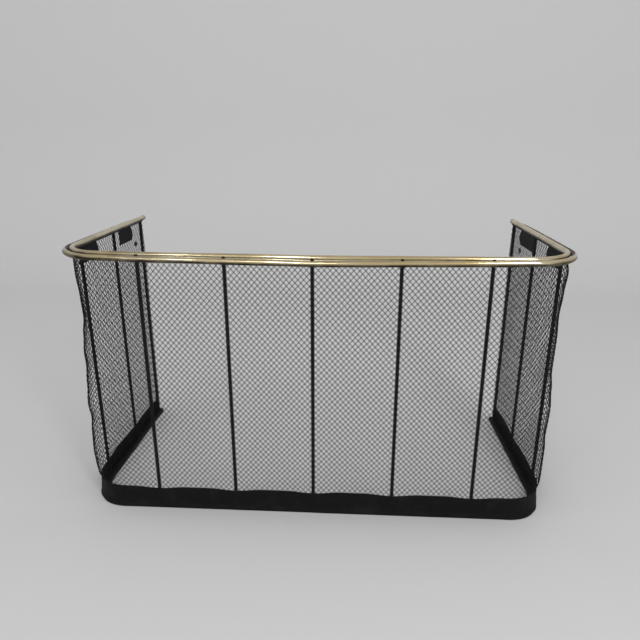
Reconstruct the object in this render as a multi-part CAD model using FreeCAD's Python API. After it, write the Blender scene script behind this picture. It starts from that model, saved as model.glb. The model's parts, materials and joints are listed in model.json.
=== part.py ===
import FreeCAD, Part
import math
import os

# Nursery fire guard: wire wall on iron rods round three sides, open to the rear
# +X to the right, +Y to the rear, +Z up, floor at z = 0, all sizes in mm

# Outline of the wall, measured to the centre line of the upright rods
overall_height = 610.0
wall_half_width = 534.0
wall_depth = 468.0
toe_in = 16.0
corner_radius = 90.0

# Upright rods
rod_diameter = 7.9
front_bays_each_side = 2
front_bay_share = 0.336
corner_rod_share = 1.3

# Double brass rail and the iron bar under it
rail_diameter = 12.7
rail_step = 5.6
rail_overhang = 14.0
rail_cap_length = 3.0
rail_cap_taper = 1.5
top_bar_size = 3.0

# Base bar and the sheet skirt with its folded hem
base_bar_width = 19.0
base_bar_height = 10.0
base_overrun = 4.0
sheet = 1.0
hem_fold = 1.8
hem_height = 10.0
skirt_height = 57.0
skirt_side_height = 44.0
skirt_dip = 4.5
skirt_dip_half = 55.0

# Wire mesh
wire = 1.1
lay_pitch = 26.0
corner_strips = 2

# Plates and lozenges inside the side walls
plate_thickness = 1.0
plate_height = 36.0
plate_nose = 10.0
front_plate_length = 88.0
rear_plate_length_left = 76.0
rear_plate_length_right = 112.0
rear_plate_end = 384.0
lozenge_length = 20.0
lozenge_height = 15.0
lozenge_drop = 16.0
lozenge_depth_left = 408.0
lozenge_depth_right = 381.0

# Gap left between pieces that touch
seat = 0.1

# Wall layers, counted inward from the rod line
rod_radius = rod_diameter / 2
toe = math.atan(toe_in / wall_depth)
mesh_inset = rod_radius + seat
mesh_depth = 2 * wire + seat
plate_inset = mesh_inset + mesh_depth + seat
sheet_inset = -rod_radius - seat
centre_x = (wall_half_width - corner_radius * math.cos(toe)
            - corner_radius * (1 + math.sin(toe)) * math.tan(toe))
side_start = corner_radius * (1 + math.sin(toe))
side_length = (wall_depth - side_start) / math.cos(toe)

# Rail heights and insets: the inner rail lies higher and the two touch over the rods
rail_radius = rail_diameter / 2
inner_rail_z = overall_height - rail_radius
outer_rail_z = inner_rail_z - rail_step
rail_inset = math.sqrt((rail_diameter + 2 * seat) ** 2 - rail_step ** 2) / 2
rod_reach = math.sqrt((rail_radius + seat) ** 2 - (rail_inset - rod_radius) ** 2)
rod_top = outer_rail_z - rod_reach
rod_foot = base_bar_height + seat
bar_top = inner_rail_z - rail_radius - seat
wall_top = bar_top - top_bar_size - seat

# Rod stations along the sides
corner_rod_depth = corner_radius * corner_rod_share
side_rod_depth = (corner_rod_depth + wall_depth) / 2
front_bay = wall_half_width * front_bay_share


def vec(x, y, z):
    return FreeCAD.Vector(x, y, z)


def mirrored(shape):
    return shape.mirror(vec(0, 0, 0), vec(1, 0, 0))


# Stand a shape drawn with x along the wall and y inward at a point of the wall
def stand(shape, x, y, turn):
    placed = shape.copy()
    placed.rotate(vec(0, 0, 0), vec(0, 0, 1), math.degrees(turn))
    placed.translate(vec(x, y, 0))
    return placed


# Right-hand side wall: x of the drawn shape runs rearward
def stand_on_side(shape, depth):
    x = wall_half_width - depth * math.tan(toe)
    return stand(shape, x, depth, math.pi / 2 + toe)


# Every upright, by name, as the shape standing at its station
def at_rods(shape):
    placed = {}
    for number in range(2 * front_bays_each_side + 1):
        x = (number - front_bays_each_side) * front_bay
        placed["front_rod_%d" % (number + 1)] = stand(shape, x, 0, 0)
    depths = {"corner_rod": corner_rod_depth, "side_rod": side_rod_depth, "rear_rod": wall_depth}
    for name, depth in depths.items():
        right = stand_on_side(shape, depth)
        placed[name + "_left"] = mirrored(right)
        placed[name + "_right"] = right
    return placed


# Rear end of a right-hand side line that lies at this inset
def rear_end(inset, overrun):
    x = wall_half_width - toe_in - inset * math.cos(toe) - overrun * math.sin(toe)
    y = wall_depth - inset * math.sin(toe) + overrun * math.cos(toe)
    return x, y


# Carry a profile, drawn across the front wall's left end, round the whole wall
def carried_round(profile, overrun):
    turn = math.pi / 2 + toe
    pivot = vec(centre_x, corner_radius, 0)
    front = profile.extrude(vec(2 * centre_x, 0, 0))
    at_corner = profile.copy()
    at_corner.translate(vec(2 * centre_x, 0, 0))
    corner = at_corner.revolve(pivot, vec(0, 0, 1), math.degrees(turn))
    at_side = at_corner.copy()
    at_side.rotate(pivot, vec(0, 0, 1), math.degrees(turn))
    length = side_length + overrun
    side = at_side.extrude(vec(-math.sin(toe), math.cos(toe), 0) * length)
    whole = front.fuse([corner, side, mirrored(corner), mirrored(side)])
    return whole.removeSplitter().Solids[0]


def section(points):
    corners = [vec(-centre_x, inset, z) for inset, z in points]
    return Part.Face(Part.makePolygon(corners + corners[:1]))


def bar_section(inset, z, width, height):
    return section([(inset, z), (inset + width, z), (inset + width, z + height), (inset, z + height)])


# Upright rod: stands on the base bar and ends against the outer rail
def upright():
    return Part.makeCylinder(rod_radius, rod_top - rod_foot, vec(0, 0, rod_foot))


def brass_rail(inset, z):
    ring = Part.makeCircle(rail_radius, vec(-centre_x, inset, z), vec(1, 0, 0))
    return carried_round(Part.Face(Part.Wire([ring])), rail_overhang)


# Tapered cap on the rear end of a rail
def rail_cap(inset, z):
    small = rail_radius - rail_cap_taper
    cap = Part.makeCone(rail_radius, small, rail_cap_length, vec(seat, 0, z), vec(1, 0, 0))
    x, y = rear_end(inset, rail_overhang)
    return stand(cap, x, y, math.pi / 2 + toe)


def rail_caps():
    right = [rail_cap(rail_inset, inner_rail_z), rail_cap(-rail_inset, outer_rail_z)]
    return Part.makeCompound(right + [mirrored(cap) for cap in right])


# Section of the skirt: upright sheet with its lower edge folded outward into a hem
def skirt_section():
    outer = sheet_inset - sheet
    hem = outer - hem_fold
    points = [(sheet_inset, 0), (sheet_inset, skirt_height), (outer, skirt_height), (outer, hem_height)]
    points += [(hem, hem_height - hem_fold / 2), (hem, hem_fold / 2), (hem + hem_fold / 2, 0)]
    return section(points)


# Hollow in the skirt's upper edge at a rod
def skirt_hollow(top):
    radius = (skirt_dip_half ** 2 + skirt_dip ** 2) / (2 * skirt_dip)
    front = 2 * (sheet_inset - sheet)
    back = corner_radius / 4
    centre = vec(0, front, top - skirt_dip + radius)
    return Part.makeCylinder(radius, back - front, centre, vec(0, 1, 0))


# What is cut off above the skirt, which falls round the corners to the sides
def above_sides():
    reach = wall_half_width + corner_radius
    rear = wall_depth + corner_radius
    high = 2 * skirt_height
    outline = [(0, skirt_height), (side_start, skirt_side_height), (rear, skirt_side_height)]
    outline += [(rear, high), (0, high)]
    corners = [vec(-reach, y, z) for y, z in outline]
    return Part.Face(Part.makePolygon(corners + corners[:1])).extrude(vec(2 * reach, 0, 0))


# Skirt sheet, lower along the sides, its upper edge hollowed at every rod
def skirt():
    body = carried_round(skirt_section(), base_overrun)
    cuts = at_rods(skirt_hollow(skirt_side_height))
    for name, hollow in at_rods(skirt_hollow(skirt_height)).items():
        if name.startswith("front_rod"):
            cuts[name] = hollow
    return body.cut([above_sides()] + list(cuts.values())).Solids[0]


# Keep the side of a polygon where slope_x * x + slope_z * z <= limit
def clipped(points, slope_x, slope_z, limit):
    kept = []
    for a, b in zip(points, points[1:] + points[:1]):
        over_a = slope_x * a[0] + slope_z * a[1] - limit
        over_b = slope_x * b[0] + slope_z * b[1] - limit
        if over_a <= 0:
            kept.append(a)
        if over_a * over_b < 0:
            share = over_a / (over_a - over_b)
            kept.append((a[0] + share * (b[0] - a[0]), a[1] + share * (b[1] - a[1])))
    return kept


def polygon(points):
    corners = [vec(x, 0, z) for x, z in points]
    return Part.makePolygon(corners + corners[:1])


# One lay of slanting wires inside a wire-wide edge, as a single holed sheet
def lay(width, rise):
    half = width / 2
    outline = [(-half, rod_foot), (half, rod_foot), (half, wall_top), (-half, wall_top)]
    inner = [(-half + wire, rod_foot + wire), (half - wire, rod_foot + wire)]
    inner += [(half - wire, wall_top - wire), (-half + wire, wall_top - wire)]
    margin = wire / math.sqrt(2)
    reach = half + wall_top
    holes = []
    for number in range(-int(reach / lay_pitch) - 1, int(reach / lay_pitch) + 1):
        low = number * lay_pitch + margin
        high = (number + 1) * lay_pitch - margin
        gap = clipped(clipped(inner, rise, 1, high), -rise, -1, -low)
        if len(gap) > 2:
            hole = polygon(gap[::-1])
            if Part.Face(hole).Area > wire ** 2:
                holes.append(hole)
    return Part.Face([polygon(outline)] + holes).extrude(vec(0, wire, 0))


# Flat panel of mesh: two lays crossing, one behind the other
def mesh_panel(width):
    outer = lay(width, 1)
    inner = lay(width, -1)
    outer.translate(vec(0, mesh_inset, 0))
    inner.translate(vec(0, mesh_inset + wire + seat, 0))
    return [outer, inner]


strip_angle = (math.pi / 2 + toe) / corner_strips
fold_margin = mesh_depth * math.tan(strip_angle / 2) + seat


def front_mesh():
    return Part.makeCompound(mesh_panel(2 * centre_x - 2 * fold_margin))


def side_mesh():
    length = side_length + rod_radius - fold_margin
    middle = wall_depth + (rod_radius - length / 2) * math.cos(toe)
    return Part.makeCompound([stand_on_side(lay_shape, middle) for lay_shape in mesh_panel(length)])


# Corner mesh folded into flat strips round the bend
def corner_mesh():
    radius = corner_radius - mesh_inset
    width = 2 * radius * math.sin(strip_angle / 2) - 2 * fold_margin
    distance = radius * math.cos(strip_angle / 2) + mesh_inset
    strips = []
    for number in range(corner_strips):
        angle = -math.pi / 2 + (number + 0.5) * strip_angle
        x = centre_x + distance * math.cos(angle)
        y = corner_radius + distance * math.sin(angle)
        for lay_shape in mesh_panel(width):
            strips.append(stand(lay_shape, x, y, angle + math.pi / 2))
    return Part.makeCompound(strips)


# Plate hung under the top bar, its rear end coming to a blunt point
def side_plate(length, end_depth):
    low = wall_top - plate_height
    middle = wall_top - plate_height / 2
    outline = [(-length, low), (0, low), (plate_nose, middle), (0, wall_top), (-length, wall_top)]
    plate = Part.Face(polygon(outline)).extrude(vec(0, plate_thickness, 0))
    plate.translate(vec(0, plate_inset, 0))
    return stand_on_side(plate, end_depth)


def lozenge(depth):
    middle = wall_top - plate_height - lozenge_drop
    outline = [(-lozenge_length / 2, middle), (0, middle - lozenge_height / 2)]
    outline += [(lozenge_length / 2, middle), (0, middle + lozenge_height / 2)]
    patch = Part.Face(polygon(outline)).extrude(vec(0, plate_thickness, 0))
    patch.translate(vec(0, plate_inset, 0))
    return stand_on_side(patch, depth)


def guard():
    pieces = at_rods(upright())
    base = bar_section(-rod_radius, 0, base_bar_width, base_bar_height)
    top = bar_section(mesh_inset, bar_top - top_bar_size, top_bar_size, top_bar_size)
    pieces["base_bar"] = carried_round(base, base_overrun)
    pieces["top_bar"] = carried_round(top, rod_radius)
    pieces["skirt"] = skirt()
    pieces["inner_brass_rail"] = brass_rail(rail_inset, inner_rail_z)
    pieces["outer_brass_rail"] = brass_rail(-rail_inset, outer_rail_z)
    pieces["rail_caps"] = rail_caps()
    pieces["front_mesh"] = front_mesh()
    front_end = side_start + front_plate_length
    sides = {"corner_mesh": corner_mesh(), "side_mesh": side_mesh()}
    sides["front_plate"] = side_plate(front_plate_length, front_end)
    for name, shape in sides.items():
        pieces[name + "_left"] = mirrored(shape)
        pieces[name + "_right"] = shape
    pieces["rear_plate_left"] = mirrored(side_plate(rear_plate_length_left, rear_plate_end))
    pieces["rear_plate_right"] = side_plate(rear_plate_length_right, rear_plate_end)
    pieces["lozenge_left"] = mirrored(lozenge(lozenge_depth_left))
    pieces["lozenge_right"] = lozenge(lozenge_depth_right)
    return pieces


# The origin is the middle of the footprint's bounding box, on the floor
pieces = guard()
box = Part.makeCompound(list(pieces.values())).optimalBoundingBox(False, False)
os.makedirs("parts", exist_ok=True)
for name, shape in pieces.items():
    shape.translate(vec(0, -(box.YMin + box.YMax) / 2, 0))
    shape.exportStep("parts/%s.step" % name)
    print(name, len(shape.Solids), shape.isValid(), round(shape.Volume))
print("rod line at y", -(box.YMin + box.YMax) / 2, "box", box)
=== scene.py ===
import bpy
import bmesh
import json
import math
from mathutils import Matrix, Vector, noise


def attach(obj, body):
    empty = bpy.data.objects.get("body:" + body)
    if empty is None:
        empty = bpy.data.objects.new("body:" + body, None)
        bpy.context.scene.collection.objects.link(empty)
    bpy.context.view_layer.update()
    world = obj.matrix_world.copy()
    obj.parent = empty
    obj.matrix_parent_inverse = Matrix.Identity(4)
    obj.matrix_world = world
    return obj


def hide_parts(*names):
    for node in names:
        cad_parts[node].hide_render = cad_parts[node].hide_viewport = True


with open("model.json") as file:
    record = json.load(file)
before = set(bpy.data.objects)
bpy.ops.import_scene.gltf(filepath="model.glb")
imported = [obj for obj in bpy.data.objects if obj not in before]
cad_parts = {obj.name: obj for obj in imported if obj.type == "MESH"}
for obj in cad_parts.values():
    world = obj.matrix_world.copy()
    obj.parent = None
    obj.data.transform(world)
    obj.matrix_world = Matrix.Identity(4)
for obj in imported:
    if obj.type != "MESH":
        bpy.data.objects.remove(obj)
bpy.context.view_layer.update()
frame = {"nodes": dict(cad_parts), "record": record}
nodes = frame["nodes"]
print("frame loaded:", len(nodes), "nodes")

# wall of the guard in metres, measured to the centre line of the rods
wall = {"halfWidth": 0.534, "depth": 0.468, "toeIn": 0.016, "radius": 0.09, "frontY": -0.236647}
wall["toe"] = math.atan(wall["toeIn"] / wall["depth"])
wall["turn"] = math.pi / 2 + wall["toe"]
wall["sideStart"] = wall["radius"] * (1 + math.sin(wall["toe"]))
wall["centreX"] = (
    wall["halfWidth"]
    - wall["radius"] * math.cos(wall["toe"])
    - wall["sideStart"] * math.tan(wall["toe"])
)
wall["cornerEnd"] = wall["centreX"] + wall["radius"] * wall["turn"]


# way along the wall from its middle to a depth behind the front
def sideRun(depth):
    return wall["cornerEnd"] + (depth - wall["sideStart"]) / math.cos(wall["toe"])


wall["end"] = sideRun(wall["depth"])
rods = {"pitch": wall["halfWidth"] * 0.336, "sideDepths": (0.117, 0.2925, 0.468)}
frontRods = [rods["pitch"] * i for i in range(-2, 3)]
sideRods = [sideRun(depth) for depth in rods["sideDepths"]]
rodRuns = frontRods + sideRods + [-run for run in sideRods]


class Sock:
    def __init__(self, tree, socket):
        self.tree = tree
        self.socket = socket

    def calc(self, operation, a, b):
        return self.node("ShaderNodeMath", {"operation": operation}, {0: a, 1: b})

    def __add__(self, other):
        return self.calc("ADD", self, other)

    def __sub__(self, other):
        return self.calc("SUBTRACT", self, other)

    def __rsub__(self, other):
        return self.calc("SUBTRACT", other, self)

    def __mul__(self, other):
        return self.calc("MULTIPLY", self, other)

    __radd__ = __add__
    __rmul__ = __mul__

    def node(self, kind, settings, values, output=0):
        made = self.tree.nodes.new(kind)
        for name, value in settings.items():
            setattr(made, name, value)
        for name, value in values.items():
            if isinstance(value, Sock):
                self.tree.links.new(value.socket, made.inputs[name])
            else:
                made.inputs[name].default_value = value
        return Sock(self.tree, made.outputs[output])


def newMaterial(name, fixed):
    material = bpy.data.materials.new(name)
    material.use_nodes = True
    tree = material.node_tree
    shader = tree.nodes["Principled BSDF"]
    for socket, value in fixed.items():
        shader.inputs[socket].default_value = value
    coords = tree.nodes.new("ShaderNodeTexCoord")
    return material, shader, Sock(tree, coords.outputs["Object"])


def feed(shader, sockets):
    for name, value in sockets.items():
        value.tree.links.new(value.socket, shader.inputs[name])


def stored(coords, name, output):
    return coords.node("ShaderNodeAttribute", {"attribute_name": name}, {}, output)


def mixColour(mask, first, second):  # 6, 7 and 2 are the colour sockets of Mix
    return mask.node("ShaderNodeMix", {"data_type": "RGBA"}, {0: mask, 6: first, 7: second}, 2)


def eased(value, low, high):
    limits = {"Value": value, "From Min": low, "From Max": high}
    return value.node("ShaderNodeMapRange", {"interpolation_type": "SMOOTHSTEP"}, limits)


def cloud(coords, scale, detail):
    values = {"Vector": coords, "Scale": scale, "Detail": detail, "Roughness": 0.6}
    return coords.node("ShaderNodeTexNoise", {}, values)


def patches(coords, scale, detail, low, high):
    return eased(cloud(coords, scale, detail), low, high)


def bumped(height, strength, distance):
    values = {"Height": height, "Strength": strength, "Distance": distance}
    return height.node("ShaderNodeBump", {}, values)


def agedBrass():
    look = {
        "gold": (0.64, 0.505, 0.27, 1),
        "brown": (0.25, 0.18, 0.085, 1),
        "pale": (0.76, 0.69, 0.52, 1),
        # dark colour for soot specks and for painted shade
        "sootAndShade": (0.045, 0.035, 0.022, 1),
        "drawn": (0.06, 1, 1),  # draws the streaks out along the rail
        "streaks": {"scale": 520, "detail": 4, "low": 0.42, "high": 0.72},
        "tarnish": {"scale": 16, "detail": 6, "low": 0.5, "high": 0.74},
        "rubbed": {"scale": 5, "detail": 3, "low": 0.42, "high": 0.66},
        "specks": {"scale": 30, "detail": 4, "low": 0.35, "high": 0.65},
        "scratches": {"scale": 1600, "detail": 3},
        "paleShare": {"all": 0.4, "rubbed": 0.3, "goldAndGlint": 0.45},
        "brownShare": {"tarnish": 0.45, "streaks": 0.28},
        "sootAndShadeShare": {"all": 0.78, "specks": 0.22},
        "rough": {"all": 0.13, "tarnish": 0.10, "streaks": 0.05, "sootAndShade": 0.3},
        "bump": {"strength": 0.02, "distance": 0.0004},
    }
    material, shader, coords = newMaterial("agedBrass", {"Metallic": 1.0})
    straight = stored(coords, "straight", "Vector")
    grimeAndShade = stored(coords, "grimeAndShade", "Fac")
    goldAndGlint = stored(coords, "goldAndGlint", "Fac")
    ways = {0: straight, 1: look["drawn"]}
    streaky = straight.node("ShaderNodeVectorMath", {"operation": "MULTIPLY"}, ways)
    streaks = patches(streaky, **look["streaks"])
    tarnish = patches(straight, **look["tarnish"])
    rubbed = patches(straight, **look["rubbed"])
    specks = patches(straight, **look["specks"])
    scratches = cloud(streaky, **look["scratches"])
    pale, brown, sootAndShade, rough = (look[share] for share in ("paleShare", "brownShare", "sootAndShadeShare", "rough"))
    # paler where rubbed, and paler under the lamp glints as a painted highlight
    palenessAndGlint = pale["all"] + rubbed * pale["rubbed"] - goldAndGlint * pale["goldAndGlint"]
    bare = mixColour(palenessAndGlint, look["gold"], look["pale"])
    worn = mixColour(tarnish * brown["tarnish"] + streaks * brown["streaks"], bare, look["brown"])
    # grime takes the brass towards the dark colour: real soot specks, and painted shade in the groove,
    # underneath and along darker stretches
    dirtAndShade = grimeAndShade * (sootAndShade["all"] + specks * sootAndShade["specks"])
    dull = rough["all"] + tarnish * rough["tarnish"] + streaks * rough["streaks"] + dirtAndShade * rough["sootAndShade"]
    feed(shader, {
        "Base Color": mixColour(dirtAndShade, worn, look["sootAndShade"]),
        "Roughness": dull,
        "Normal": bumped(scratches, **look["bump"]),
    })
    return material


def blackIron():
    look = {
        "dark": (0.0038, 0.0038, 0.0041, 1),
        "worn": (0.014, 0.0136, 0.0132, 1),
        "rubs": {"scale": 60, "detail": 6, "low": 0.52, "high": 0.78},
        "grit": {"scale": 900, "detail": 4},
        "rough": {"all": 0.64, "rubs": 0.14},
        "bump": {"strength": 0.25, "distance": 0.0006},
    }
    material, shader, coords = newMaterial("blackIron", {"Specular IOR Level": 0.2})
    rubs = patches(coords, **look["rubs"])
    grit = cloud(coords, **look["grit"])
    feed(shader, {
        "Base Color": mixColour(rubs, look["dark"], look["worn"]),
        "Roughness": look["rough"]["all"] - rubs * look["rough"]["rubs"],
        "Normal": bumped(grit, **look["bump"]),
    })
    return material


def blackSheet():
    look = {
        "black": (0.0038, 0.0040, 0.0046, 1),
        "dusty": (0.0105, 0.0105, 0.011, 1),
        "dust": {"scale": 26, "detail": 7, "low": 0.46, "high": 0.8},
        "grain": {"scale": 700, "detail": 5},
        "rough": {"all": 0.7, "dust": 0.1, "grain": 0.08},
        "bump": {"strength": 0.3, "distance": 0.0005},
    }
    material, shader, coords = newMaterial("blackSheet", {"Specular IOR Level": 0.16})
    dust = patches(coords, **look["dust"])
    grain = cloud(coords, **look["grain"])
    rough = look["rough"]
    feed(shader, {
        "Base Color": mixColour(dust, look["black"], look["dusty"]),
        "Roughness": rough["all"] - dust * rough["dust"] + grain * rough["grain"],
        "Normal": bumped(grain, **look["bump"]),
    })
    return material


def wireBlack():
    look = {
        "black": (0.0034, 0.0034, 0.0036, 1),
        "bare": (0.013, 0.0125, 0.012, 1),
        "rubs": {"scale": 35, "detail": 4, "low": 0.55, "high": 0.8},
        "rough": {"all": 0.58, "rubs": 0.1},
    }
    material, shader, coords = newMaterial("wireBlack", {"Specular IOR Level": 0.14})
    rubs = patches(coords, **look["rubs"])
    feed(shader, {
        "Base Color": mixColour(rubs, look["black"], look["bare"]),
        "Roughness": look["rough"]["all"] - rubs * look["rough"]["rubs"],
    })
    return material


looks = {
    "brass": agedBrass(),
    "black_iron": blackIron(),
    "black_sheet": blackSheet(),
    "mesh_wire": wireBlack(),
}
slotOf = {part["node"]: part["material_slot"] for part in frame["record"]["subparts"]}
for name, node in nodes.items():
    node.data.materials.clear()
    node.data.materials.append(looks[slotOf[name]])
print("materials made")


# pieces are made straight, with x along the wall and y inward from the rods, and then bent round it
def wallPlace(run, inset, z, wrapped):
    if abs(run) <= wall["centreX"]:
        return Vector((run, wall["frontY"] + inset, z))
    ahead = abs(run) - wall["centreX"]
    angle = min(ahead / wall["radius"], wall["turn"])
    rest = ahead - wall["radius"] * angle
    outward = Vector((math.sin(angle), -math.cos(angle), 0))
    back = Vector((math.cos(angle), math.sin(angle), 0))
    over = abs(run) - wall["end"]
    place = Vector((wall["centreX"], wall["frontY"] + wall["radius"], z)) + outward * wall["radius"]
    if wrapped and over > 0:  # round the rear rod
        curl = over / inset
        place += back * (rest - over) + (back * math.sin(curl) - outward * math.cos(curl)) * inset
    else:
        place += back * rest - outward * inset
    return Vector((math.copysign(place.x, run), place.y, z))


def clamped(share):
    return min(1.0, max(0.0, share))


def soft(share):
    return share * share * (3 - 2 * share)


# value of a table of places and amounts, eased from one row to the next
def between(table, place):
    for (low, a), (high, b) in zip(table, table[1:]):
        if place <= high:
            return a + (b - a) * soft(max(0.0, (place - low) / (high - low)))
    return table[-1][1]


# 0 along the front and the sides, 1 halfway round a corner
def cornerShare(run):
    ahead = (abs(run) - wall["centreX"]) / (wall["cornerEnd"] - wall["centreX"])
    return math.sin(math.pi * clamped(ahead))


def newVerts(made):
    return [item for item in made if isinstance(item, bmesh.types.BMVert)]


def extrudeRun(bm, edges, move, steps):
    for step in range(steps):
        made = bmesh.ops.extrude_edge_only(bm, edges=edges)["geom"]
        verts = newVerts(made)
        bmesh.ops.translate(bm, verts=verts, vec=move / steps)
        edges = [item for item in made if isinstance(item, bmesh.types.BMEdge)]
        edges = [edge for edge in edges if all(vert in verts for vert in edge.verts)]
    return edges


def closeEnds(bm):
    bmesh.ops.holes_fill(bm, edges=[edge for edge in bm.edges if edge.is_boundary])


# a bar or sheet with one outline, drawn out along the wall to the same distance both ways
def drawnOut(outline, half, spacing, closed):
    bm = bmesh.new()
    loop = [bm.verts.new((-half, *place)) for place in outline]
    following = loop[1:] + loop[:1] if closed else loop[1:]
    edges = [bm.edges.new(pair) for pair in zip(loop, following)]
    extrudeRun(bm, edges, Vector((2 * half, 0, 0)), round(2 * half / spacing))
    if closed:
        closeEnds(bm)
    return bm


def smoothMesh(name, bm, material):
    for face in bm.faces:
        face.smooth = True
    mesh = bpy.data.meshes.new(name)
    bm.to_mesh(mesh)
    bm.free()
    mesh.materials.append(material)
    return mesh


def linked(name, data):
    made = bpy.data.objects.new(name, data)
    bpy.context.scene.collection.objects.link(made)
    return made


def addPiece(name, bm, slot, replaced, wrapped=False):
    sameSpot = 1e-6
    bmesh.ops.remove_doubles(bm, verts=bm.verts, dist=sameSpot)
    bmesh.ops.recalc_face_normals(bm, faces=bm.faces)
    layer = bm.verts.layers.float_vector.new("straight")
    for vert in bm.verts:
        vert[layer] = vert.co
        vert.co = wallPlace(*vert.co, wrapped)
    piece = linked(name, smoothMesh(name, bm, looks[slot]))
    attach(piece, "root")
    if replaced:
        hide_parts(replaced)
    print("piece", name, len(piece.data.polygons), "faces")
    return piece


# paired rails: inset and height of the inner one's middle, and how far they stand past the rear rods
rails = {
    "radius": 0.00635,
    "apart": 0.0129,
    "cornerGap": 0.0016,
    "overhangs": (0.014, 0.005),
    "inset": 0.00581,
    "z": 0.60365,
}
# sag of both along the wall, and the step down to the outer one
railSag = [
    (-0.44, 0.0), (-0.3, 0.0015), (-0.15, 0.0024), (0.05, 0.0038), (0.2, 0.0031), (0.34, 0.0025),
    (0.45, 0.0016), (0.6, 0.0005), (0.75, 0.0),
]
railStep = [
    (-0.95, 0.0056), (-0.88, 0.0032), (-0.55, 0.0032), (-0.43, 0.0050), (-0.36, 0.0068),
    (-0.25, 0.0073), (-0.1, 0.0093), (0.0, 0.0098), (0.1, 0.0090), (0.24, 0.0070), (0.35, 0.0058),
    (0.46, 0.0042), (0.6, 0.0032), (0.88, 0.0032), (0.95, 0.0056),
]
# how dark the solder in the groove is along the wall: painted shade in the groove, with some soot
seamSootAndShade = [
    (-0.44, 1.0), (-0.34, 0.3), (-0.26, 0.0), (0.12, 0.05), (0.20, 0.7), (0.33, 0.95), (0.37, 0.3),
    (0.40, 0.0),
]
# how far the painted shade and painted dark reflection reach out of the groove over the outer rail, and where
# both rails are kept free of it
shadeReach = [
    (-0.80, 0.0), (-0.64, 0.5), (-0.52, 0.3), (-0.40, 0.5), (0.14, 0.5), (0.24, 0.1), (0.33, 0.1),
    (0.38, -0.8), (0.44, -0.8), (0.49, 0.1), (0.60, 0.75), (0.78, 0.75), (0.92, 0.0),
]
# how far the painted shade reaches up from below
underShadeReach = [
    (-0.60, 0.0), (-0.55, 0.6), (-0.475, 0.6), (-0.45, 0.25), (-0.30, 0.2), (-0.25, 0.0), (0.46, 0.0),
    (0.48, 0.4), (0.53, 0.4), (0.57, 0.0),
]
# painted shade on the rails: stretches made darker and duller
railDimming = [
    (-0.54, 0.0), (-0.48, 0.16), (-0.43, 0.16), (-0.40, 0.38), (-0.335, 0.38), (-0.29, 0.0),
    (-0.25, 0.08), (-0.14, 0.08), (-0.07, 0.0),
]
# gold to the eye: low where the brass is pale, and low under the lamp glints, where the paler colour is a
# painted highlight
goldAndGlintShare = [
    (-0.56, -0.9), (-0.44, 0.3), (-0.33, 0.2), (-0.28, -0.5), (-0.2, 0.4), (-0.12, 0.4), (-0.05, -0.5),
    (0.04, 0.6), (0.3, 1.0), (0.36, 0.2), (0.42, -0.6), (0.47, -0.3), (0.5, 0.6), (0.54, -0.9),
]


# inset and height of the middles of the inner and the outer rail
def railMiddles(run):
    step = between(railStep, run)
    apart = rails["apart"] + rails["cornerGap"] * cornerShare(run)
    inner = Vector((rails["inset"], rails["z"] - between(railSag, run)))
    return inner, inner - Vector((math.sqrt(apart ** 2 - step ** 2), step))


# a spot in the groove between the rails: towards the inner one, and up out of the groove
def grooveSpot(run, towards, up):
    inner, outer = railMiddles(run)
    across = (inner - outer).normalized()
    return (inner + outer) / 2 + across * towards + Vector((-across.y, across.x)) * up


def grimeShadeAndGlintLayers(bm):
    return [bm.verts.layers.float.new(name) for name in ("grimeAndShade", "goldAndGlint")]


def brassRail(name, which, node):
    detail = {
        "sides": 32,
        "spacing": 0.012,
        "groove": ((0.52, 0.84), (0.10, 0.45))[which],  # facing it so far, painted shade begins and is full
        "under": (-0.30, 0.25),  # the same for facing down
    }
    length = 2 * wall["end"] + sum(rails["overhangs"])
    start = Matrix.Translation((-wall["end"] - rails["overhangs"][0], 0, 0))
    place = start @ Matrix.Rotation(math.pi / 2, 4, "Y")
    bm = bmesh.new()
    bmesh.ops.create_circle(bm, segments=detail["sides"], radius=rails["radius"], matrix=place)
    extrudeRun(bm, list(bm.edges), Vector((length, 0, 0)), round(length / detail["spacing"]))
    closeEnds(bm)
    grimeAndShade, goldAndGlint = grimeShadeAndGlintLayers(bm)
    for vert in bm.verts:
        run = vert.co.x
        inner, outer = railMiddles(run)
        facing = Vector((vert.co.y, vert.co.z)) / rails["radius"]
        reach = between(shadeReach, run)
        if which:
            groove = facing.x + reach
        else:
            groove = facing.dot((outer - inner).normalized()) + min(0.0, reach)
        under = between(underShadeReach, run) - facing.y
        # starts from the painted shade of the darker, duller stretches
        dirtAndShade = [between(railDimming, run)]
        # groove and underside amounts: painted shade where the rails meet and underneath, and a painted dark
        # reflection on the outer rail
        for amount, (low, high) in ((groove, detail["groove"]), (under, detail["under"])):
            dirtAndShade.append((amount - low) / (high - low))
        vert[grimeAndShade] = min(1.0, max(dirtAndShade))
        # low under the lamp glints as a painted highlight
        vert[goldAndGlint] = between(goldAndGlintShare, run)
        vert.co.yz = Vector((vert.co.y, vert.co.z)) + (inner, outer)[which]
    addPiece(name, bm, "brass", node)


brassRail("innerRail", 0, "inner_brass_rail")
brassRail("outerRail", 1, "outer_brass_rail")


def railSeam():
    seam = {  # solder along the front
        "half": 0.45,
        "width": 0.0033,
        "proud": 0.0040,
        "hollow": 0.0003,
        "spacing": 0.012,
        "goldAndGlint": -0.9,
    }
    side, proud = seam["width"] / 2, seam["proud"]
    outline = [(-side, proud), (0, proud - seam["hollow"]), (side, proud), (0, 0)]
    bm = drawnOut(outline, seam["half"], seam["spacing"], closed=True)
    grimeAndShade, goldAndGlint = grimeShadeAndGlintLayers(bm)
    for vert in bm.verts:
        # the seam darkened as painted shade in the groove, with some soot
        vert[grimeAndShade] = between(seamSootAndShade, vert.co.x)
        vert[goldAndGlint] = seam["goldAndGlint"]
        vert.co.yz = grooveSpot(*vert.co)
    addPiece("railSeam", bm, "brass", None)


railSeam()


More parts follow.
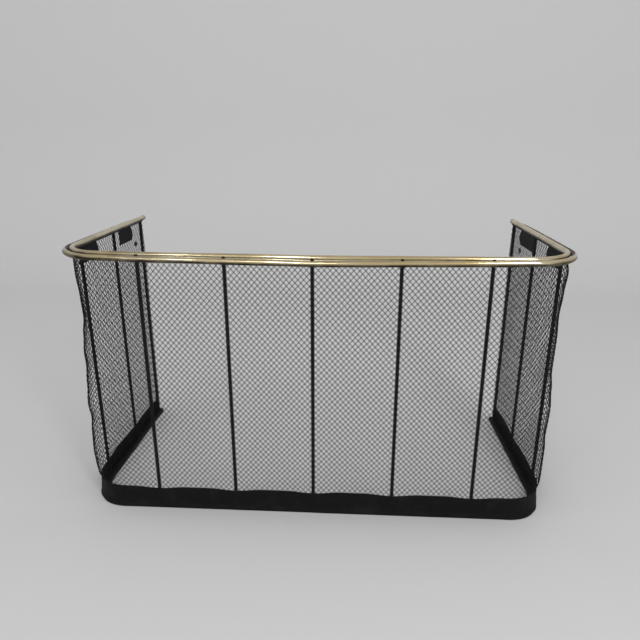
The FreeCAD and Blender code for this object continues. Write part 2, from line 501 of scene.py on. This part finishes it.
def railCaps():
    cap = {"rim": 0.00635, "face": 0.0048, "length": 0.0032, "sides": 32, "edge": 0.0004, "rounds": 2}
    sharp = 0.8  # edges that turn more than this are rounded
    bm = bmesh.new()
    for side, overhang in zip((-1, 1), rails["overhangs"]):
        run = side * (wall["end"] + overhang + cap["length"] / 2)
        for middle in railMiddles(run):
            bmesh.ops.create_cone(
                bm,
                cap_ends=True,
                segments=cap["sides"],
                radius1=cap["rim"],
                radius2=cap["face"],
                depth=cap["length"],
                matrix=Matrix.Translation((run, *middle)) @ Matrix.Rotation(side * math.pi / 2, 4, "Y"),
            )
    rims = [edge for edge in bm.edges if len(edge.link_faces) == 2 and edge.calc_face_angle() > sharp]
    bmesh.ops.bevel(
        bm,
        geom=rims,
        offset=cap["edge"],
        affect="EDGES",
        segments=cap["rounds"],
        profile=0.5,
        material=-1,
    )
    addPiece("railCaps", bm, "black_iron", "rail_caps")


railCaps()


def rodEnds():
    tenon = {  # peened over in the groove
        "radius": 0.0036,
        "sides": 16,
        "foot": 0.586,
        "knob": (0.0040, 0.0027, 0.0027),
        "knobSides": (12, 8),
        "proud": 0.0042,
    }
    around, over = tenon["knobSides"]
    bm = bmesh.new()
    for run in rodRuns:
        knob = grooveSpot(run, 0, tenon["proud"])
        tall = knob.y - tenon["foot"]
        bmesh.ops.create_cone(
            bm,
            cap_ends=True,
            segments=tenon["sides"],
            radius1=tenon["radius"],
            radius2=tenon["radius"],
            depth=tall,
            matrix=Matrix.Translation((run, 0, tenon["foot"] + tall / 2)),
        )
        head = Matrix.Translation((run, *knob)) @ Matrix.Diagonal((*tenon["knob"], 1))
        bmesh.ops.create_uvsphere(bm, u_segments=around, v_segments=over, radius=1, matrix=head)
    addPiece("rodEnds", bm, "black_iron", None)


rodEnds()

# lower corners bent inward a little, as distance along the wall and amount
tuckLeft = [(0.42, 0.0), (0.485, -0.0014), (0.52, 0.0012), (0.556, 0.005), (0.604, 0.0)]
tuckRight = [(0.42, -0.0005), (0.485, -0.0026), (0.52, 0.0006), (0.553, 0.006), (0.604, 0.0)]


def tuck(run):
    return between(tuckLeft if run < 0 else tuckRight, abs(run))


def baseBar():
    bar = {"insets": (-0.00395, 0.01505), "height": 0.010, "edge": 0.0008, "overrun": 0.004, "spacing": 0.011}
    near, far = bar["insets"]
    top, edge = bar["height"], bar["edge"]
    outline = [
        (near, 0), (near, top - edge), (near + edge, top),
        (far - edge, top), (far, top - edge), (far, 0),
    ]
    bm = drawnOut(outline, wall["end"] + bar["overrun"], bar["spacing"], closed=True)
    for vert in bm.verts:
        vert.co.y += tuck(vert.co.x)
    addPiece("baseBar", bm, "black_iron", "base_bar")


baseBar()


def sheetSkirt():
    skirt = {
        "face": -0.00505,
        "foot": 0.011,
        "top": 0.057,
        "fall": 0.013,  # of the top, from the front to the sides
        "dip": 0.0045,  # of the top at the rods
        "dipHalf": 0.062,
        "dipFrom": 0.5,
        "lean": 0.0045,
        "wave": {"amount": 0.0005, "scale": 9, "seed": 4},
        "overrun": 0.004,
        "sheet": 0.001,
        "spacing": 0.011,
    }
    rows = (1.0, 0.87, 0.74, 0.5, 0.24)  # shares of the height above the hem
    hem = [
        (-0.00505, 0.0082), (-0.0059, 0.0076), (-0.0066, 0.0062), (-0.00685, 0.0044), (-0.0067, 0.0026),
        (-0.0060, 0.0011), (-0.0050, 0.0003),
    ]
    outline = [(skirt["face"], row) for row in rows] + hem
    wave = skirt["wave"]
    bm = drawnOut(outline, wall["end"] + skirt["overrun"], skirt["spacing"], closed=False)
    for vert in bm.verts:
        run, share = vert.co.x, vert.co.z
        vert.co.y += tuck(run)
        if share < rows[-1] / 2:  # the hem keeps its own heights
            continue
        ahead = min(wall["turn"], max(0.0, abs(run) - wall["centreX"]) / wall["radius"])
        fallen = min(1.0, (1 - math.cos(ahead)) * wall["radius"] / wall["sideStart"])
        top = skirt["top"] - skirt["fall"] * fallen
        near = max(0.0, 1 - min(abs(run - rod) for rod in rodRuns) / skirt["dipHalf"])
        upper = max(0.0, share - skirt["dipFrom"]) / (1 - skirt["dipFrom"])
        waving = noise.noise(Vector((run * wave["scale"], share, wave["seed"])))
        vert.co.z = skirt["foot"] + share * (top - skirt["foot"]) - skirt["dip"] * soft(near) * upper
        vert.co.y += skirt["lean"] * cornerShare(run) * share + wave["amount"] * waving
    piece = addPiece("sheetSkirt", bm, "black_sheet", "skirt")
    thick = piece.modifiers.new("sheet", "SOLIDIFY")
    thick.thickness = skirt["sheet"]
    thick.offset = -1


sheetSkirt()

# woven wire mesh: over one and under one, slanting both ways
weave = {
    "pitch": Vector((0.01195, 0, 0.0137)),
    "radius": 0.00066,
    "sides": 4,
    "lift": 0.0006,
    "inset": 0.0052,
    "bottom": 0.0102,
    "top": 0.5945,
    "wrap": 0.014,
    "joined": 1e-5,
    "ripple": {"amount": 0.0009, "scales": (11, 8), "seed": 2, "end": 0.59, "fade": 0.06},
    "bulge": {"start": 0.375, "rise": 0.09, "end": 0.607, "fall": 0.045},  # along the wall
    "tuck": {"end": 0.06, "fade": 0.02},
}
# bulge of the corners, outward positive, as height and amount
bulgeLeft = [
    (0.043, 0.0), (0.052, 0.005), (0.064, 0.0085), (0.085, 0.0105), (0.12, 0.0122), (0.165, 0.0105),
    (0.205, 0.007), (0.24, 0.0105), (0.29, 0.0065), (0.34, 0.003), (0.365, 0.004), (0.41, 0.0),
    (0.45, -0.005), (0.5, -0.0035), (0.55, 0.0), (0.6, 0.0),
]
bulgeRight = [
    (0.043, 0.0), (0.052, 0.0046), (0.064, 0.0068), (0.085, 0.0074), (0.15, 0.0075), (0.18, 0.0052),
    (0.25, 0.008), (0.3, 0.0045), (0.34, 0.0005), (0.42, 0.0012), (0.47, -0.0008), (0.52, 0.0025),
    (0.565, 0.006), (0.585, 0.003), (0.6, 0.0),
]


def meshInset(run, z):
    ripple, corner, low = weave["ripple"], weave["bulge"], weave["tuck"]
    across, up = ripple["scales"]
    rippling = 1 + noise.noise(Vector((run * across, z * up, ripple["seed"])))
    rippled = ripple["amount"] * rippling * clamped((ripple["end"] - z) / ripple["fade"])
    tucked = tuck(run) * clamped((low["end"] - z) / low["fade"])  # with the skirt, low down
    rise = clamped((abs(run) - corner["start"]) / corner["rise"])
    rise = min(rise, clamped((corner["end"] - abs(run)) / corner["fall"]))
    bulge = between(bulgeLeft if run < 0 else bulgeRight, z)
    return weave["inset"] + tucked + rippled * (1 - rise) - bulge * soft(rise)


# one stretch of two crossing wires
def weaveCell(bm):
    for rise, start, out in ((1, 0, -weave["lift"]), (-1, weave["pitch"].z, weave["lift"])):
        slant = Vector((weave["pitch"].x, 0, rise * weave["pitch"].z))
        square = Vector((-slant.z, 0, slant.x)).normalized()
        axes = Matrix(((0, 1, 0), square, slant.normalized())).transposed().to_4x4()
        place = Matrix.Translation((0, out, start)) @ axes
        ring = bmesh.ops.create_circle(bm, segments=weave["sides"], radius=weave["radius"], matrix=place)
        edges = list(dict.fromkeys(edge for vert in ring["verts"] for edge in vert.link_edges))
        crossing = Vector((0, 2 * out, 0))
        edges = extrudeRun(bm, edges, slant / 2 - crossing, 1)
        extrudeRun(bm, edges, slant / 2 + crossing, 1)


def repeatCells(bm, axis, count):
    pitch = weave["pitch"][axis]
    made = 1
    while made < count:
        more = min(made, count - made)
        copied = [face for face in bm.faces if face.calc_center_median()[axis] < more * pitch]
        step = Vector((0, 0, 0))
        step[axis] = made * pitch
        bmesh.ops.translate(bm, verts=newVerts(bmesh.ops.duplicate(bm, geom=copied)["geom"]), vec=step)
        made += more


def trimmed(bm, place, normal):
    everything = bm.verts[:] + bm.edges[:] + bm.faces[:]
    bmesh.ops.bisect_plane(bm, geom=everything, plane_co=place, plane_no=normal, clear_outer=True)


def wovenPanel(name, first, last, node):
    wide, tall = weave["pitch"].x, weave["pitch"].z
    left = math.floor(first / wide)
    low = math.floor(weave["bottom"] / tall)
    bm = bmesh.new()
    weaveCell(bm)
    repeatCells(bm, 0, math.ceil(last / wide) - left)
    repeatCells(bm, 2, math.ceil(weave["top"] / tall) - low)
    bmesh.ops.translate(bm, verts=bm.verts, vec=(left * wide, 0, low * tall))
    trimmed(bm, (first, 0, 0), (-1, 0, 0))
    trimmed(bm, (last, 0, 0), (1, 0, 0))
    trimmed(bm, (0, 0, weave["bottom"]), (0, 0, -1))
    trimmed(bm, (0, 0, weave["top"]), (0, 0, 1))
    bmesh.ops.remove_doubles(bm, verts=bm.verts, dist=weave["joined"])
    for vert in bm.verts:
        vert.co.y += meshInset(vert.co.x, vert.co.z)
    addPiece(name, bm, "mesh_wire", node, wrapped=True)


rear = wall["end"] + weave["wrap"]
wovenPanel("frontWeave", -wall["centreX"], wall["centreX"], "front_mesh")
wovenPanel("cornerWeaveRight", wall["centreX"], wall["cornerEnd"], "corner_mesh_right")
wovenPanel("cornerWeaveLeft", -wall["cornerEnd"], -wall["centreX"], "corner_mesh_left")
wovenPanel("sideWeaveRight", wall["cornerEnd"], rear, "side_mesh_right")
wovenPanel("sideWeaveLeft", -rear, -wall["cornerEnd"], "side_mesh_left")


def studioSweep():
    sweep = {"front": -6, "back": 1.5, "bend": 0.9, "bendSteps": 16, "top": 5, "half": 7, "joined": 1e-5}
    finish = {"Base Color": (0.74, 0.74, 0.74, 1), "Roughness": 0.9, "Specular IOR Level": 0.1}
    bm = bmesh.new()
    corner = bm.verts.new((-sweep["half"], sweep["back"], 0))
    bm.edges.new((bm.verts.new((-sweep["half"], sweep["front"], 0)), corner))
    bent = bmesh.ops.spin(
        bm,
        geom=[corner],
        cent=(0, sweep["back"], sweep["bend"]),
        axis=(1, 0, 0),
        angle=math.pi / 2,
        steps=sweep["bendSteps"],
    )
    upper = newVerts(bent["geom_last"])[0]
    bm.edges.new((upper, bm.verts.new((-sweep["half"], upper.co.y, sweep["top"]))))
    extrudeRun(bm, bm.edges[:], Vector((2 * sweep["half"], 0, 0)), 1)
    bmesh.ops.remove_doubles(bm, verts=bm.verts, dist=sweep["joined"])
    bmesh.ops.recalc_face_normals(bm, faces=bm.faces)
    stage = linked("sweep", smoothMesh("sweep", bm, newMaterial("sweep", finish)[0]))


studioSweep()


def roomLight():
    room = {"high": (0.58, 0.58, 0.58, 1), "low": (0.80, 0.80, 0.80, 1), "fade": (0.1, 0.7), "strength": 1.0}
    world = bpy.data.worlds.new("room")
    bpy.context.scene.world = world
    world.use_nodes = True
    tree = world.node_tree
    direction = Sock(tree, tree.nodes.new("ShaderNodeTexCoord").outputs["Generated"])
    height = direction.node("ShaderNodeSeparateXYZ", {}, {0: direction}, "Z")
    background = tree.nodes["Background"]
    feed(background, {"Color": mixColour(eased(height, *room["fade"]), room["low"], room["high"])})
    background.inputs["Strength"].default_value = room["strength"]


roomLight()
lamps = {
    "lampLeft": {"place": (-0.99, -2.14, 2.2), "aim": (0, 0, 0.3), "size": (0.12, 0.4), "power": 3.2},
    "lampMiddle": {"place": (-0.30, -2.14, 2.2), "aim": (0, 0, 0.3), "size": (0.2, 0.45), "power": 6},
    "lampRight": {"place": (1.11, -2.14, 2.2), "aim": (0, 0, 0.3), "size": (0.36, 1.1), "power": 17},
}
for name, lamp in lamps.items():
    light = bpy.data.lights.new(name, "AREA")
    light.shape = "RECTANGLE"
    light.size, light.size_y = lamp["size"]
    light.energy = lamp["power"]
    holder = linked(name, light)
    holder.location = lamp["place"]
    toAim = Vector(lamp["aim"]) - Vector(lamp["place"])
    holder.rotation_euler = toAim.to_track_quat("-Z", "Y").to_euler()
print("sweep, room and lamps set")

view = {"place": (0.0808, -1.3786, 0.8605), "pitch": 0.328, "yaw": 0.057, "lens": 32.85, "sensor": 36}
camera = linked("camera", bpy.data.cameras.new("camera"))
camera.data.sensor_width = view["sensor"]
camera.data.lens = view["lens"]
camera.location = view["place"]
camera.rotation_euler = (math.pi / 2 - view["pitch"], 0, view["yaw"])
bpy.context.scene.camera = camera
bpy.context.scene.view_settings.view_transform = "Standard"
print("camera set")
